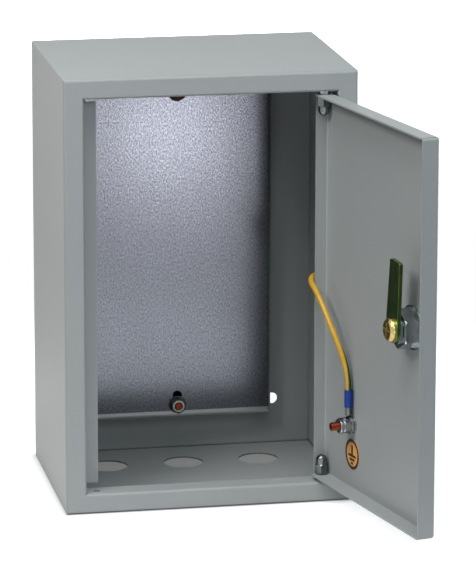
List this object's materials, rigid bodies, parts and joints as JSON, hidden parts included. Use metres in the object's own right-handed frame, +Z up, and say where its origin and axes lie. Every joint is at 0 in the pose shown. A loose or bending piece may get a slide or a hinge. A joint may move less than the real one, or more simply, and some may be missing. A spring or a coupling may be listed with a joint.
{
  "type": "wall-mounted electrical cabinet",
  "caption": "Light grey sheet-steel wall cabinet with an inset hinged door, cam lock, galvanised mounting plate, open cable entries in the floor and an earth lead to the door.",
  "frame": {"origin": "middle of the back face, at the centre of the four wall holes", "axes": "+X to the right seen from the front, +Y into the wall, +Z up; the door stands open at 103 degrees"},
  "size_m": [0.2198, 0.3013, 0.3],
  "materials": {
    "paint": "light grey powder coat, fine orange peel",
    "galvanised": "galvanised, fine speckle",
    "copper": "copper-plated weld stud",
    "zinc": "bright zinc",
    "tinned": "tinned",
    "blue_sleeve": "glossy",
    "lead": "yellow and green",
    "label": "orange film",
    "lock_zinc": "bright zinc",
    "yellow_zinc": "yellow passivated zinc"
  },
  "bodies": {
    "cabinet": {"body_wrap": "paint", "top_panel": "paint", "bottom_panel": "paint", "mounting_plate": "galvanised", "earth_lead": "lead", "plate_stud_upper": "copper", "plate_washer_upper": "zinc", "plate_nut_upper": "zinc", "plate_stud_lower": "copper", "plate_washer_lower": "zinc", "plate_nut_lower": "zinc", "body_earth_stud": "copper", "body_earth_inner_washer": "zinc", "body_earth_ring_terminal": "tinned", "body_earth_terminal_sleeve": "blue_sleeve", "body_earth_outer_washer": "zinc", "body_earth_nut": "zinc", "body_earth_lock_nut": "zinc"},
    "door": {"door_panel": "paint", "hinge_pin_upper": "zinc", "hinge_dome_nut_upper": "zinc", "hinge_pin_lower": "zinc", "hinge_dome_nut_lower": "zinc", "door_earth_stud": "copper", "door_earth_inner_washer": "zinc", "door_earth_ring_terminal": "tinned", "door_earth_terminal_sleeve": "blue_sleeve", "door_earth_outer_washer": "zinc", "door_earth_nut": "zinc", "door_earth_lock_nut": "zinc", "earth_label": "label", "lock_barrel": "lock_zinc", "lock_washer": "lock_zinc", "lock_nut": "lock_zinc"},
    "cam": {"lock_plug": "lock_zinc", "lock_cam": "yellow_zinc", "cam_screw": "yellow_zinc"}
  },
  "joints": [
    {"name": "door_hinge", "type": "hinge", "parent": "cabinet", "child": "door", "pos_m": [0.078, -0.1425, 0], "axis": [0, 0, 1], "range_deg": [-103, 2.5], "deforming": ["earth_lead"]},
    {"name": "lock_turn", "type": "hinge", "parent": "door", "child": "cam", "pos_m": [0.10691, -0.26771, 0.001], "axis": [0.9744, 0.225, 0], "range_deg": [-5, 85]}
  ]
}
